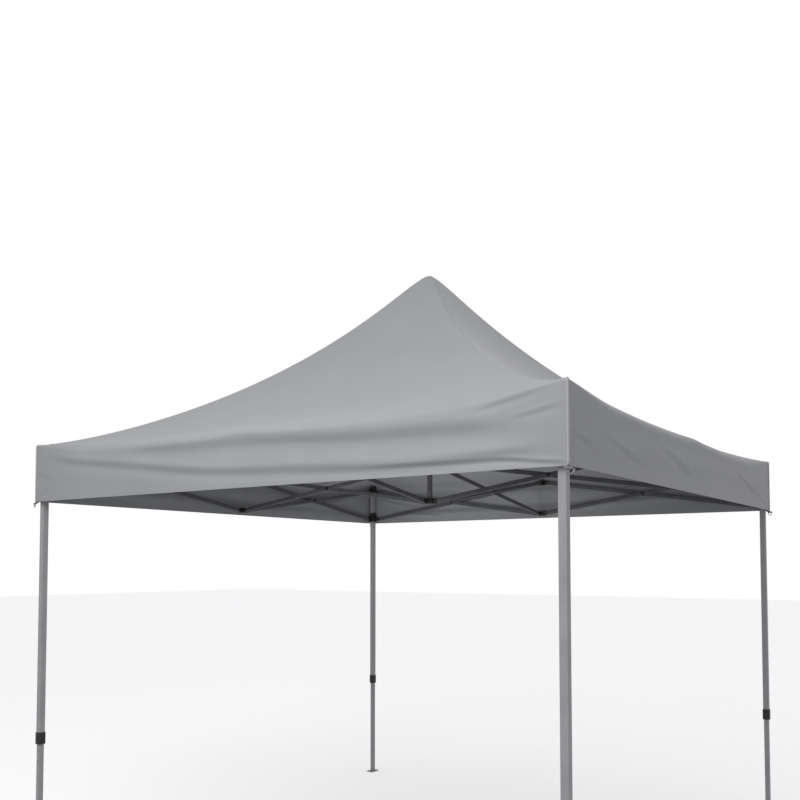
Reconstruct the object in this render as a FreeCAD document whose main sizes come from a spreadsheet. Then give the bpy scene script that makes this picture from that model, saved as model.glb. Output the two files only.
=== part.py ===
"""A folding shelter: a square cover over a scissor frame that stands on four telescopic legs.

The origin is on the ground under the centre pole. X runs along the front side, Y runs from the
front to the back, and Z is up. Everything is drawn with the frame open and the legs at full height.
A hub is at the centre, a mid bracket is halfway along a side, and a slider runs on a leg.
A size formula is written with the names in SIZES, and is bound to the sheet that holds them.
"""
import FreeCAD, Part
import math
import os
import re
import Sketcher

V = FreeCAD.Vector
X, Y, UP = V(1, 0, 0), V(0, 1, 0), V(0, 0, 1)

SIZES = {
    "cover_width": 3000,
    "eave_height": 2250,
    "roof_rise": 1026,
    "skirt_drop": 300,
    "roof_curve": 1.6,
    "peak_flat": 30,
    "cloth_thick": 2,
    "cloth_gap": 13,
    "leg_tube": 30,
    "leg_wall": 1.5,
    "leg_bottom": 700,
    "tube_play": 1,
    "tube_overlap": 450,
    "lower_wall": 1.5,
    "stop_pitch": 60,
    "stop_radius": 4,
    "foot_length": 90,
    "foot_width": 60,
    "foot_thick": 4,
    "foot_round": 8,
    "peg_margin": 12,
    "peg_radius": 5,
    "pivot_drop": 55,
    "bar_rise": 215,
    "arm_reach": 45,
    "mid_reach": 34,
    "bar_width": 25,
    "bar_thick": 12,
    "bar_wall": 1.2,
    "bar_round": 3.5,
    "bar_gap": 6,
    "bolt_radius": 3,
    "bolt_play": 0.1,
    "bolt_fit": 0.05,
    "head_radius": 5.5,
    "head_thick": 3,
    "head_gap": 0.3,
    "spacer_radius": 15,
    "spacer_gap": 0.2,
    "arm_margin": 0.5,
    "cheek": 3,
    "cheek_gap": 0.5,
    "web_gap": 1.5,
    "block_height": 30,
    "block_round": 5,
    "socket_wall": 4,
    "socket_fit": 0.05,
    "socket_depth": 56,
    "crown_thick": 4,
    "crown_gap": 10,
    "slide_gap": 0.5,
    "slider_height": 70,
    "slider_drop": 18,
    "knob_radius": 9,
    "knob_length": 10,
    "knob_bevel": 3,
    "knob_stem": 4,
    "knob_rise": 36,
    "knob_shift": 8,
    "pin_gap": 0.3,
    "collar_height": 60,
    "collar_lip": 10,
    "collar_gap": 0.3,
    "button_radius": 6,
    "button_length": 7,
    "button_proud": 4,
    "button_rise": 20,
    "button_gap": 0.2,
    "pole_radius": 15,
    "pole_wall": 1.5,
    "pole_gap": 1,
    "pole_rise": 565,
    "rod_play": 1,
    "rod_wall": 1.2,
    "rod_overlap": 430,
    "cap_radius": 36,
    "cap_gap": 3,
    "cap_socket": 30,
    "cap_wall": 4,
    "ring_radius": 18,
    "ring_wire": 2,
    "ring_bar": 2.4,
    "ring_end": 1,
    "ring_out": 3,
    "ring_drop": 10,
}

ROOF_STEPS = 8
STOP_HOLES = 3
# the azimuth that each side faces, and the one that turns the front left corner into each corner
SIDES = {"right": 0, "back": 90, "left": 180, "front": 270}
CORNERS = {"front_left": 0, "front_right": 90, "back_right": 180, "back_left": 270}

SLEEVE = "(leg_tube / 2 + socket_wall)"
LEG_INSET = f"({SLEEVE} + cloth_gap)"
LEG_PLACE = f"(cover_width / 2 - {LEG_INSET})"
LEG_TOP = "(eave_height - crown_gap - crown_thick)"
LOWER_TUBE = "(leg_tube - 2 * leg_wall - 2 * tube_play)"
LOWER_TOP = "(leg_bottom + tube_overlap)"
PEG_PLACE = "(foot_length / 2 - peg_margin)"
UPPER_PIVOT = "(eave_height - pivot_drop)"
LOWER_PIVOT = f"({UPPER_PIVOT} - bar_rise)"
BAR_RUN = f"({LEG_PLACE} - mid_reach - arm_reach)"
BAR_LENGTH = f"sqrt({BAR_RUN} ^ 2 + bar_rise ^ 2)"
BAR_OFFSET = "((bar_thick + bar_gap) / 2)"
ARM_WIDTH = "(bar_thick + 2 * cheek_gap + 2 * cheek)"
ARM_HEIGHT = "(bar_width + 2 * arm_margin)"
WEB = "(bar_width / 2 + web_gap)"
POLE_TOP = f"({UPPER_PIVOT} + pole_rise)"
ROD_RADIUS = "(pole_radius - pole_wall - rod_play)"
ROD_BOTTOM = f"({POLE_TOP} - rod_overlap)"
PEAK_HEIGHT = "(eave_height + roof_rise)"
HEM_HEIGHT = "(eave_height - skirt_drop)"
CAP_BASE = f"({PEAK_HEIGHT} - cloth_thick - cap_gap - cap_radius)"


def bound(formula):
    """A size formula with each name in it pointing at the sheet."""
    return re.sub(r"[a-z]\w*", lambda word: f"Sizes.{word[0]}" if word[0] in SIZES else word[0], str(formula))


class Shop:
    """The document and its sheet, with the simple shapes that every piece is made from."""

    def __init__(self):
        self.doc = FreeCAD.newDocument("Shelter")
        self.sheet = self.doc.addObject("Spreadsheet::Sheet", "Sizes")
        for row, (alias, value) in enumerate(SIZES.items(), 1):
            self.sheet.set(f"A{row}", alias)
            self.sheet.set(f"B{row}", str(value))
            self.sheet.setAlias(f"B{row}", alias)
        self.doc.recompute()
        self.nodes = []

    def size(self, formula):
        return float(self.sheet.evalExpression(bound(formula)))

    def point(self, x, y, z):
        return V(self.size(x), self.size(y), self.size(z))

    def primitive(self, kind, name, sizes, placement):
        piece = self.doc.addObject(kind, name)
        for size, formula in sizes.items():
            piece.setExpression(size, bound(formula))
        piece.Placement = placement
        return piece

    def box(self, name, frame, sizes, middle):
        """A block centred on a point of a frame."""
        low = self.point(*(f"{place} - ({size}) / 2" for place, size in zip(middle, sizes)))
        bound_sizes = dict(zip(("Length", "Width", "Height"), sizes))
        return self.primitive("Part::Box", name, bound_sizes, frame * frame_at(low))

    def cylinder(self, name, frame, radius, length, start, axis):
        """A round bar that runs from a point of a frame along an axis of it."""
        place = FreeCAD.Placement(self.point(*start), FreeCAD.Rotation(UP, axis))
        return self.primitive("Part::Cylinder", name, {"Radius": radius, "Height": length}, frame * place)

    def fuse(self, name, pieces):
        joined = self.doc.addObject("Part::MultiFuse", name)
        joined.Shapes = pieces
        return joined

    def cut(self, name, base, tools):
        made = self.doc.addObject("Part::Cut", name)
        made.Base = base
        made.Tool = tools[0] if len(tools) == 1 else self.fuse(f"{name}_tools", tools)
        return made

    def node(self, label, pieces):
        """A sub-part with its own name: one piece, or a group of separate solids that stay together."""
        made = pieces[0]
        if len(pieces) > 1:
            made = self.doc.addObject("Part::Compound", f"{label}_group")
            made.Links = pieces
        made.Label = label
        self.nodes.append(made)

    def square_tube(self, name, frame, side, wall, low, high, holes=()):
        """An upright square tube on a frame's Z axis between two heights."""
        height, middle = f"({high} - ({low}))", f"({high} + {low}) / 2"
        outer = self.box(f"{name}_outer", frame, (side, side, height), ("0", "0", middle))
        bore = f"({side} - 2 * {wall})"
        inner = self.box(f"{name}_bore", frame, (bore, bore, height), ("0", "0", middle))
        return self.cut(name, outer, [inner, *holes])

    def round_tube(self, name, radius, wall, low, high):
        """An upright round tube on the centre line."""
        height = f"{high} - ({low})"
        outer = self.cylinder(f"{name}_outer", frame_at(V()), radius, height, ("0", "0", low), UP)
        inner = self.cylinder(f"{name}_bore", frame_at(V()), f"{radius} - {wall}", height, ("0", "0", low), UP)
        return self.cut(name, outer, [inner])

    def bolt(self, name, frame, grip, middle):
        """A bolt across a frame's Y axis, with its head and nut as one solid."""
        x, y, z = middle
        ends = [(f"{y} + {grip} / 2", Y), (f"{y} - {grip} / 2", -Y)]
        pieces = [self.cylinder(f"{name}_shank", frame, "bolt_radius", grip, (x, ends[1][0], z), Y)]
        for place, axis in ends:
            pieces.append(self.cylinder(f"{name}_end", frame, "head_radius", "head_thick", (x, place, z), axis))
        return self.fuse(name, pieces)


def frame_at(origin, azimuth=0, slope=0):
    """A placement whose X axis points at an azimuth and is then tipped down by a slope."""
    return FreeCAD.Placement(origin, FreeCAD.Rotation(UP, azimuth) * FreeCAD.Rotation(Y, slope))


# Bars


def slot_outline(shop, sketch):
    """The outline of a bar, seen from the side, from one pivot to the other."""
    length, radius = shop.size(BAR_LENGTH), shop.size("bar_width / 2")
    quarter = math.pi / 2
    ends = [Part.Circle(V(length, 0, 0), UP, radius), Part.Circle(V(0, 0, 0), UP, radius)]
    sketch.addGeometry(Part.LineSegment(V(0, radius, 0), V(length, radius, 0)))
    sketch.addGeometry(Part.ArcOfCircle(ends[0], -quarter, quarter))
    sketch.addGeometry(Part.LineSegment(V(length, -radius, 0), V(0, -radius, 0)))
    sketch.addGeometry(Part.ArcOfCircle(ends[1], quarter, 3 * quarter))
    for joint in ((0, 2, 1, 2), (1, 1, 2, 1), (2, 2, 3, 2), (3, 1, 0, 1)):
        sketch.addConstraint(Sketcher.Constraint("Tangent", *joint))
    sketch.addConstraint(Sketcher.Constraint("Coincident", 3, 3, -1, 1))
    sketch.addConstraint(Sketcher.Constraint("PointOnObject", 1, 3, -1))
    set_distance(sketch, "Radius", (3,), "bar_width / 2", radius)
    set_distance(sketch, "DistanceX", (3, 3, 1, 3), BAR_LENGTH, length)


def set_distance(sketch, kind, geometry, formula, value):
    """Adds a dimension to a sketch and binds it to the sheet."""
    index = sketch.addConstraint(Sketcher.Constraint(kind, *geometry, value))
    sketch.setExpression(f"Constraints[{index}]", bound(formula))


def rectangle_outline(shop, sketch, width, height):
    """A rectangle centred on a sketch's origin."""
    half_w, half_h = shop.size(width) / 2, shop.size(height) / 2
    corners = [V(-half_w, -half_h, 0), V(half_w, -half_h, 0), V(half_w, half_h, 0), V(-half_w, half_h, 0)]
    for n, corner in enumerate(corners):
        sketch.addGeometry(Part.LineSegment(corner, corners[(n + 1) % 4]))
    for n in range(4):
        sketch.addConstraint(Sketcher.Constraint("Coincident", n, 2, (n + 1) % 4, 1))
        sketch.addConstraint(Sketcher.Constraint(("Horizontal", "Vertical")[n % 2], n))
    sketch.addConstraint(Sketcher.Constraint("Symmetric", 0, 1, 1, 2, -1, 1))
    set_distance(sketch, "DistanceX", (0, 1, 0, 2), width, 2 * half_w)
    set_distance(sketch, "DistanceY", (1, 1, 1, 2), height, 2 * half_h)


def circle_outline(shop, sketch, places, radius):
    """Round holes along a sketch's X axis."""
    for n, place in enumerate(places):
        at, size = shop.size(place), shop.size(radius)
        sketch.addGeometry(Part.Circle(V(at, 0, 0), UP, size))
        set_distance(sketch, "Radius", (n,), radius, size)
        if at:
            sketch.addConstraint(Sketcher.Constraint("PointOnObject", n, 3, -1))
            set_distance(sketch, "DistanceX", (-1, 1, n, 3), place, at)
        else:
            sketch.addConstraint(Sketcher.Constraint("Coincident", n, 3, -1, 1))


def sketch_on(body, plane):
    """A sketch on one of a body's own origin planes."""
    support = next(item for item in body.Origin.OriginFeatures if item.Role == plane)
    sketch = body.newObject("Sketcher::SketchObject", f"{body.Name}_sketch")
    sketch.AttachmentSupport = [(support, "")]
    sketch.MapMode = "FlatFace"
    return sketch


def pocket_through(shop, body, sketch):
    """Cuts a sketch right through a body, both ways, and checks that something was cut."""
    before = body.Shape.Volume
    pocket = body.newObject("PartDesign::Pocket", f"{body.Name}_pocket")
    pocket.Profile = sketch
    pocket.Type = "ThroughAll"
    pocket.Midplane = True
    shop.doc.recompute()
    if not pocket.Shape.Volume < before:
        raise ValueError(f"{pocket.Name} cuts nothing")


def bar(shop, name, frame):
    """A flattened tube from its first pivot, along a frame's X axis, to its second one."""
    body = shop.doc.addObject("PartDesign::Body", name)
    outline = sketch_on(body, "XZ_Plane")
    slot_outline(shop, outline)
    pad = body.newObject("PartDesign::Pad", f"{name}_pad")
    pad.Profile = outline
    pad.Midplane = True
    pad.setExpression("Length", bound("bar_thick"))
    shop.doc.recompute()
    broad = [f"Face{n}" for n, face in enumerate(pad.Shape.Faces, 1) if abs(face.normalAt(0, 0).y) > 0.9]
    rounding = body.newObject("PartDesign::Fillet", f"{name}_rounding")
    rounding.Base = (pad, broad)
    rounding.setExpression("Radius", bound("bar_round"))
    shop.doc.recompute()
    bore = sketch_on(body, "YZ_Plane")
    rectangle_outline(shop, bore, "(bar_thick - 2 * bar_wall)", "(bar_width - 2 * bar_wall)")
    pocket_through(shop, body, bore)
    holes = sketch_on(body, "XZ_Plane")
    circle_outline(shop, holes, ("0", f"{BAR_LENGTH} / 2", BAR_LENGTH), "bolt_radius + bolt_play")
    pocket_through(shop, body, holes)
    body.Placement = frame
    return body


def crossing(shop, name, frame, side):
    """The spacer and the bolt where a bar crosses its partner, which is on the given side of it."""
    middle = (f"{BAR_LENGTH} / 2", f"{side} * {BAR_OFFSET}", "0")
    thick = "(bar_gap - 2 * spacer_gap)"
    start = (middle[0], f"{middle[1]} - {thick} / 2", "0")
    disc = shop.cylinder(f"{name}_disc", frame, "spacer_radius", thick, start, Y)
    hole = shop.cylinder(f"{name}_eye", frame, "bolt_radius + bolt_play", thick, start, Y)
    grip = "(2 * bar_thick + bar_gap + 2 * head_gap)"
    return [shop.cut(f"{name}_spacer", disc, [hole]), shop.bolt(f"{name}_bolt", frame, grip, middle)]


def offset_frame(shop, origin, azimuth, slope, side):
    """A bar's frame: it starts at a pivot, and lies to one side of the line between the pivots."""
    beside = frame_at(origin, azimuth).multVec(V(0, shop.size(f"{side} * {BAR_OFFSET}"), 0))
    return frame_at(beside, azimuth, slope)


def make_bars(shop):
    """Each side has two bars in to the hubs and four bars out to its two legs."""
    slope = math.degrees(math.atan2(shop.size("bar_rise"), shop.size(BAR_RUN)))
    upper, lower = shop.size(UPPER_PIVOT), shop.size(LOWER_PIVOT)
    place, reach = shop.size(LEG_PLACE), shop.size("mid_reach")
    facing = {azimuth: side for side, azimuth in SIDES.items()}
    for side, azimuth in SIDES.items():
        outward = frame_at(V(), azimuth)
        hub_end = outward.multVec(V(shop.size("arm_reach"), 0, 0))
        name = f"top_hub_bar_{side}"
        frame = offset_frame(shop, hub_end + UP * upper, azimuth, slope, 1)
        shop.node(name, [bar(shop, f"{name}_tube", frame), *crossing(shop, name, frame, -1)])
        name = f"bottom_hub_bar_{side}"
        frame = offset_frame(shop, hub_end + UP * lower, azimuth, -slope, -1)
        shop.node(name, [bar(shop, f"{name}_tube", frame)])
        for turn in (1, -1):
            along = (azimuth + 90 * turn) % 360
            pivot = outward.multVec(V(place, turn * reach, 0))
            ending = f"{side}_{facing[along]}"
            name = f"leg_bar_{ending}"
            frame = offset_frame(shop, pivot + UP * lower, along, -slope, turn)
            shop.node(name, [bar(shop, f"{name}_tube", frame), *crossing(shop, name, frame, -turn)])
            name = f"slider_bar_{ending}"
            frame = offset_frame(shop, pivot + UP * upper, along, slope, -turn)
            shop.node(name, [bar(shop, f"{name}_tube", frame)])


# Hubs and brackets


def bracket(shop, name, frame, block, reach, arms, openings=()):
    """A moulded block with a forked arm for each bar: [block, bolts]. An arm is (azimuth, side)."""
    solids, tools, bolts = [block], list(openings), []
    slot = "(bar_thick + 2 * cheek_gap)"
    for n, (azimuth, side) in enumerate(arms, 1):
        arm = frame * frame_at(V(), azimuth)
        across = f"({side} * {BAR_OFFSET})"
        solids.append(shop.box(f"{name}_arm", arm, (reach, ARM_WIDTH, ARM_HEIGHT), (f"{reach} / 2", across, "0")))
        eye = (reach, f"{across} - {ARM_WIDTH} / 2", "0")
        solids.append(shop.cylinder(f"{name}_eye", arm, f"{ARM_HEIGHT} / 2", ARM_WIDTH, eye, Y))
        room = (f"2 * {WEB}", slot, f"{ARM_HEIGHT} + block_height")
        tools.append(shop.box(f"{name}_fork", arm, room, (reach, across, "0")))
        tools.append(shop.cylinder(f"{name}_hole", arm, "bolt_radius + bolt_fit", ARM_WIDTH, eye, Y))
        bolts.append(shop.bolt(f"{name}_bolt_{n}", arm, ARM_WIDTH, (reach, across, "0")))
    return [shop.cut(f"{name}_block", shop.fuse(f"{name}_solid", solids), tools), *bolts]


def rounded_block(shop, name, frame, side, height, middle):
    """A square block with its upright edges rounded."""
    block = shop.box(f"{name}_core", frame, (side, side, height), ("0", "0", middle))
    shop.doc.recompute()
    upright = [n for n, edge in enumerate(block.Shape.Edges, 1) if abs(edge.tangentAt(0).z) > 0.9]
    rounded = shop.doc.addObject("Part::Fillet", f"{name}_rounded")
    rounded.Base = block
    rounded.Edges = [(n, shop.size("block_round"), shop.size("block_round")) for n in upright]
    return rounded


def make_hubs(shop):
    """The top hub hangs from the cover's bars; the bottom hub carries the centre pole."""
    arms = list(SIDES.values())
    side = f"2 * (arm_reach - {WEB})"
    for name, height, turn, fit in (("top", UPPER_PIVOT, 1, "pole_gap"), ("bottom", LOWER_PIVOT, -1, "bolt_fit")):
        frame = frame_at(UP * shop.size(height))
        hub = f"{name}_hub"
        block = rounded_block(shop, hub, frame, side, "block_height", "0")
        through = f"({ARM_HEIGHT} + block_height)"
        start = ("0", "0", f"-{through} / 2")
        hole = shop.cylinder(f"{hub}_pole_hole", frame, f"pole_radius + {fit}", through, start, UP)
        pieces = bracket(shop, hub, frame, block, "arm_reach", [(azimuth, turn) for azimuth in arms], [hole])
        if name == "bottom":
            foot = f"{LOWER_PIVOT} - block_height / 2"
            pieces.append(shop.round_tube("centre_pole", "pole_radius", "pole_wall", foot, POLE_TOP))
        shop.node(hub, pieces)


def make_mid_brackets(shop):
    """Each side has a top bracket for the falling bars and a bottom bracket for the rising ones."""
    side_size = f"2 * (mid_reach - {WEB})"
    for side, azimuth in SIDES.items():
        for name, height, turn in (("top", UPPER_PIVOT, -1), ("bottom", LOWER_PIVOT, 1)):
            outward = frame_at(V(), azimuth)
            origin = outward.multVec(shop.point(LEG_PLACE, "0", height))
            frame = frame_at(origin, azimuth)
            label = f"mid_{name}_bracket_{side}"
            block = rounded_block(shop, label, frame, side_size, "block_height", "0")
            arms = [(180, -turn), (90, turn), (270, -turn)]
            shop.node(label, bracket(shop, label, frame, block, "mid_reach", arms))


# Legs


def wall_hole(shop, name, frame, radius, axis, place):
    """A tool that drills one wall of whatever stands round a frame's Z axis."""
    return shop.cylinder(name, frame, radius, "leg_tube", place, axis)


def make_leg(shop, corner, frame):
    """The upper tube with its top bracket and its collar, which the lower tube slides in."""
    name = f"leg_{corner}"
    knob_place = ("0", "knob_shift", f"{LOWER_PIVOT} + knob_rise")
    button_place = ("0", "0", "leg_bottom + button_rise")
    holes = [
        wall_hole(shop, f"{name}_lock_hole", frame, "knob_stem + button_gap", X, knob_place),
        wall_hole(shop, f"{name}_button_hole", frame, "button_radius + button_gap", -Y, button_place),
    ]
    tube = shop.square_tube(f"{name}_tube", frame, "leg_tube", "leg_wall", "leg_bottom", LEG_TOP, holes)

    top = frame * frame_at(UP * shop.size(UPPER_PIVOT))
    crown = "(pivot_drop - crown_gap)"
    height = "(socket_depth + crown_thick)"
    block = rounded_block(shop, f"{name}_crown", top, f"2 * {SLEEVE}", height, f"{crown} - {height} / 2")
    bore = "(leg_tube + 2 * socket_fit)"
    room = (bore, bore, height)
    socket = shop.box(f"{name}_socket", top, room, ("0", "0", f"{crown} - crown_thick - {height} / 2"))
    parts = bracket(shop, f"{name}_top_bracket", top, block, "arm_reach", [(0, 1), (90, -1)], [socket])

    low, lip = "(leg_bottom - collar_lip)", f"({LOWER_TUBE} + 2 * collar_gap)"
    middle = f"{low} + collar_height / 2"
    shell = rounded_block(shop, f"{name}_shell", frame, f"2 * {SLEEVE}", "collar_height", middle)
    tools = [
        shop.box(f"{name}_cup", frame, (bore, bore, "collar_height"), ("0", "0", "leg_bottom + collar_height / 2")),
        shop.box(f"{name}_mouth", frame, (lip, lip, "collar_height"), ("0", "0", "leg_bottom")),
        wall_hole(shop, f"{name}_button_way", frame, "button_radius + button_gap", -Y, button_place),
    ]
    shop.node(name, [tube, *parts, shop.cut(f"{name}_collar", shell, tools)])


def make_slider(shop, corner, frame):
    """The sleeve that carries the bars' lower ends up and down the leg."""
    name = f"slider_{corner}"
    at_pivot = frame * frame_at(UP * shop.size(LOWER_PIVOT))
    middle = "slider_height / 2 - slider_drop"
    block = rounded_block(shop, name, at_pivot, f"2 * {SLEEVE}", "slider_height", middle)
    bore = "(leg_tube + 2 * slide_gap)"
    sleeve = shop.box(f"{name}_bore", at_pivot, (bore, bore, "2 * slider_height"), ("0", "0", "0"))
    stem_place = ("0", "knob_shift", "knob_rise")
    stem = wall_hole(shop, f"{name}_stem_hole", at_pivot, "knob_stem + button_gap", X, stem_place)
    shop.node(name, bracket(shop, name, at_pivot, block, "arm_reach", [(0, -1), (90, 1)], [sleeve, stem]))


def make_slider_knob(shop, corner, frame):
    """The pull knob that locks the slider: its stem stops just short of the leg."""
    name = f"slider_knob_{corner}"
    nose, face = "(leg_tube / 2 + pin_gap)", f"({SLEEVE} + pin_gap)"
    height = f"{LOWER_PIVOT} + knob_rise"
    length = f"{face} - {nose} + knob_length / 2"
    stem = shop.cylinder(f"{name}_stem", frame, "knob_stem", length, (nose, "knob_shift", height), X)
    grip = shop.cylinder(f"{name}_grip", frame, "knob_radius", "knob_length", (face, "knob_shift", height), X)
    rim = {"Radius1": "knob_radius", "Radius2": "knob_radius - knob_bevel / 2", "Height": "knob_bevel"}
    start = shop.point(f"{face} + knob_length", "knob_shift", height)
    outward = FreeCAD.Placement(start, FreeCAD.Rotation(UP, X))
    bevel = shop.primitive("Part::Cone", f"{name}_bevel", rim, frame * outward)
    shop.node(name, [shop.fuse(f"{name}_body", [stem, grip, bevel])])


def make_leg_button(shop, corner, frame):
    """The push button in the collar that frees the lower tube."""
    name = f"leg_button_{corner}"
    nose = f"({SLEEVE} + button_proud - button_length)"
    start = ("0", f"-{nose}", "leg_bottom + button_rise")
    shop.node(name, [shop.cylinder(f"{name}_body", frame, "button_radius", "button_length", start, -Y)])


def make_lower_leg(shop, corner, frame):
    """The tube that slides up inside the leg, with a row of stop holes, and its welded foot plate."""
    name = f"lower_leg_{corner}"
    holes = []
    for n in range(STOP_HOLES):
        place = ("0", "0", f"leg_bottom + button_rise - {n} * stop_pitch")
        holes.append(wall_hole(shop, f"{name}_stop", frame, "stop_radius", -Y, place))
    tube = shop.square_tube(f"{name}_tube", frame, LOWER_TUBE, "lower_wall", "foot_thick", LOWER_TOP, holes)
    plate = shop.doc.addObject("PartDesign::Body", f"{name}_foot")
    outline = sketch_on(plate, "XY_Plane")
    rectangle_outline(shop, outline, "foot_length", "foot_width")
    pad = plate.newObject("PartDesign::Pad", f"{name}_foot_pad")
    pad.Profile = outline
    pad.setExpression("Length", bound("foot_thick"))
    shop.doc.recompute()
    upright = [f"Edge{n}" for n, edge in enumerate(pad.Shape.Edges, 1) if abs(edge.tangentAt(0).z) > 0.9]
    rounding = plate.newObject("PartDesign::Fillet", f"{name}_foot_rounding")
    rounding.Base = (pad, upright)
    rounding.setExpression("Radius", bound("foot_round"))
    shop.doc.recompute()
    pegs = sketch_on(plate, "XY_Plane")
    circle_outline(shop, pegs, (f"-{PEG_PLACE}", PEG_PLACE), "peg_radius")
    pocket_through(shop, plate, pegs)
    plate.Placement = frame
    shop.node(name, [tube, plate])


def make_ring(shop, corner, frame):
    """A D-shaped ring: a bow of round wire under the thicker bar that hangs from the cover's corner."""
    name = f"tie_ring_{corner}"
    out = "-(cover_width / 2 + ring_out)"
    place = frame_at(V(), CORNERS[corner]).multVec(shop.point(out, out, f"{HEM_HEIGHT} - ring_drop"))
    ring = FreeCAD.Placement(place, FreeCAD.Rotation(UP, CORNERS[corner] - 45) * FreeCAD.Rotation(X, -90))
    sizes = {"Radius1": "ring_radius", "Radius2": "ring_wire"}
    bow = shop.primitive("Part::Torus", f"{name}_bow", sizes, ring)
    bow.Angle3 = 180
    length = "(2 * (ring_radius + ring_wire + ring_end))"
    straight = shop.cylinder(f"{name}_bar", ring, "ring_bar", length, (f"-{length} / 2", "0", "0"), X)
    shop.node(name, [shop.fuse(f"{name}_wire", [bow, straight])])


def make_corners(shop):
    for corner, azimuth in CORNERS.items():
        turned = frame_at(V(), azimuth)
        place = shop.point(f"-{LEG_PLACE}", f"-{LEG_PLACE}", "0")
        frame = frame_at(turned.multVec(place), azimuth)
        make_leg(shop, corner, frame)
        make_slider(shop, corner, frame)
        make_slider_knob(shop, corner, frame)
        make_leg_button(shop, corner, frame)
        make_lower_leg(shop, corner, frame)
        make_ring(shop, corner, frame)


# Centre and cover


def make_peak_pole(shop):
    """The rod that slides in the centre pole, and the domed cap that holds the cover's peak up."""
    rod = shop.round_tube("peak_rod", ROD_RADIUS, "rod_wall", ROD_BOTTOM, CAP_BASE)
    dome = {"Radius": "cap_radius"}
    top = shop.primitive("Part::Sphere", "cap_dome", dome, frame_at(UP * shop.size(CAP_BASE)))
    top.Angle1 = 0
    base, origin = ("0", "0", f"{CAP_BASE} - cap_socket"), frame_at(V())
    collar = shop.cylinder("cap_collar", origin, f"{ROD_RADIUS} + cap_wall", "cap_socket", base, UP)
    bore = shop.cylinder("cap_bore", origin, f"{ROD_RADIUS} + bolt_fit", "cap_socket", base, UP)
    shop.node("peak_pole", [rod, shop.cut("peak_cap", shop.fuse("cap_solid", [top, collar]), [bore])])


def roof_level(step, inset):
    """The half width and the height of the roof at a step from the eave up to the peak."""
    share = f"({step} / {ROOF_STEPS})"
    half = f"(cover_width / 2 - (cover_width / 2 - peak_flat) * {share} - {inset})"
    return half, f"(eave_height + roof_rise * {share} ^ roof_curve - {inset})"


def roof_solid(shop, name, inset, skirt_end):
    """A hollow-sided pyramid on a square skirt, drawn in by an inset on every face."""
    side = f"(cover_width - 2 * {inset})"
    skirt_height = f"(eave_height - {inset} - {skirt_end})"
    skirt_size = (side, side, skirt_height)
    middle = ("0", "0", f"{skirt_end} + {skirt_height} / 2")
    pieces = [shop.box(f"{name}_skirt", frame_at(V()), skirt_size, middle)]
    upright = FreeCAD.Placement(V(), FreeCAD.Rotation(X, 90))
    for step in range(ROOF_STEPS):
        (wide, low), (narrow, high) = roof_level(step, inset), roof_level(step + 1, inset)
        sizes = {"Ymin": low, "Ymax": high}
        for axis in "XZ":
            sizes |= {f"{axis}min": f"-{wide}", f"{axis}max": wide}
            sizes |= {f"{axis}2min": f"-{narrow}", f"{axis}2max": narrow}
        pieces.append(shop.primitive("Part::Wedge", f"{name}_step", sizes, upright))
    return shop.fuse(name, pieces)


def make_cover(shop):
    """The cloth: a thin shell, open below, with an upright skirt all round."""
    outer = roof_solid(shop, "cover_outer", "0", HEM_HEIGHT)
    inner = roof_solid(shop, "cover_inner", "cloth_thick", f"({HEM_HEIGHT} - {LEG_INSET})")
    shop.node("cover", [shop.cut("cover_shell", outer, [inner])])


def check_and_export(shop):
    """Stops on anything that failed, and writes one file for each named sub-part."""
    shop.doc.recompute()
    for item in shop.doc.Objects:
        if "Invalid" in item.State or "Error" in item.State:
            raise ValueError(f"{item.Label} failed: {item.State}")
    os.makedirs("parts", exist_ok=True)
    for item in shop.nodes:
        if item.Shape.isNull() or not item.Shape.isValid():
            raise ValueError(f"{item.Label} has no valid shape")
        item.Shape.exportStep(f"parts/{item.Label}.step")
        print(f"{item.Label}: {len(item.Shape.Solids)} solids, {item.Shape.Volume / 1000:.1f} cm3")


def main():
    shop = Shop()
    make_cover(shop)
    make_hubs(shop)
    make_peak_pole(shop)
    make_mid_brackets(shop)
    make_bars(shop)
    make_corners(shop)
    check_and_export(shop)


main()
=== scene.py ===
"""The looks of a folding shelter: a grey cloth cover over a scissor frame on four telescopic legs.

Lengths are in metres and angles in degrees. A side is named for the way it faces, and a corner for
the two sides that meet there. The cover is one smooth surface, cut into panels:
`down` runs from the peak over the roof and down the skirt, and `across` runs from one corner of a side
(-1) to the other (1).
"""

import math

import bmesh
import bpy
import numpy as np
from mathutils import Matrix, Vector


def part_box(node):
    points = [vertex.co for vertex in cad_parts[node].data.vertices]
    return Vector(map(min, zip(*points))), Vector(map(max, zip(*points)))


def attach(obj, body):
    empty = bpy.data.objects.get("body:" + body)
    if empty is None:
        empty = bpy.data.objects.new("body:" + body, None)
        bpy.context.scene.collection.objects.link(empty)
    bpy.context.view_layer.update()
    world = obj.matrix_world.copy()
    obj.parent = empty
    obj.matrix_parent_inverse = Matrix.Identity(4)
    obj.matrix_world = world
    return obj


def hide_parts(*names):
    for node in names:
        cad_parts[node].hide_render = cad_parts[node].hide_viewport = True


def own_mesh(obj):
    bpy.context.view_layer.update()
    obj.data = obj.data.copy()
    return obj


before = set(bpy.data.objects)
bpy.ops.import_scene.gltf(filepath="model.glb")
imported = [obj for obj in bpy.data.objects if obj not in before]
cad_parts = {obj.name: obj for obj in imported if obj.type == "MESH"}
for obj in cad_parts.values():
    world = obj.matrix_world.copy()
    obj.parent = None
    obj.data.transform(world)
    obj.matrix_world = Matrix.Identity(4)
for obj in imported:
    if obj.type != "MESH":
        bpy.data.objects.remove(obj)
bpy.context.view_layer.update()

# Where the cover lies, from the frame
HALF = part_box("cover")[1].x
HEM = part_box("cover")[0].z
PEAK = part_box("cover")[1].z
CROWN_GAP = 0.010
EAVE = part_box("leg_front_right")[1].z + CROWN_GAP
SKIRT_GAP = 0.001
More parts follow.
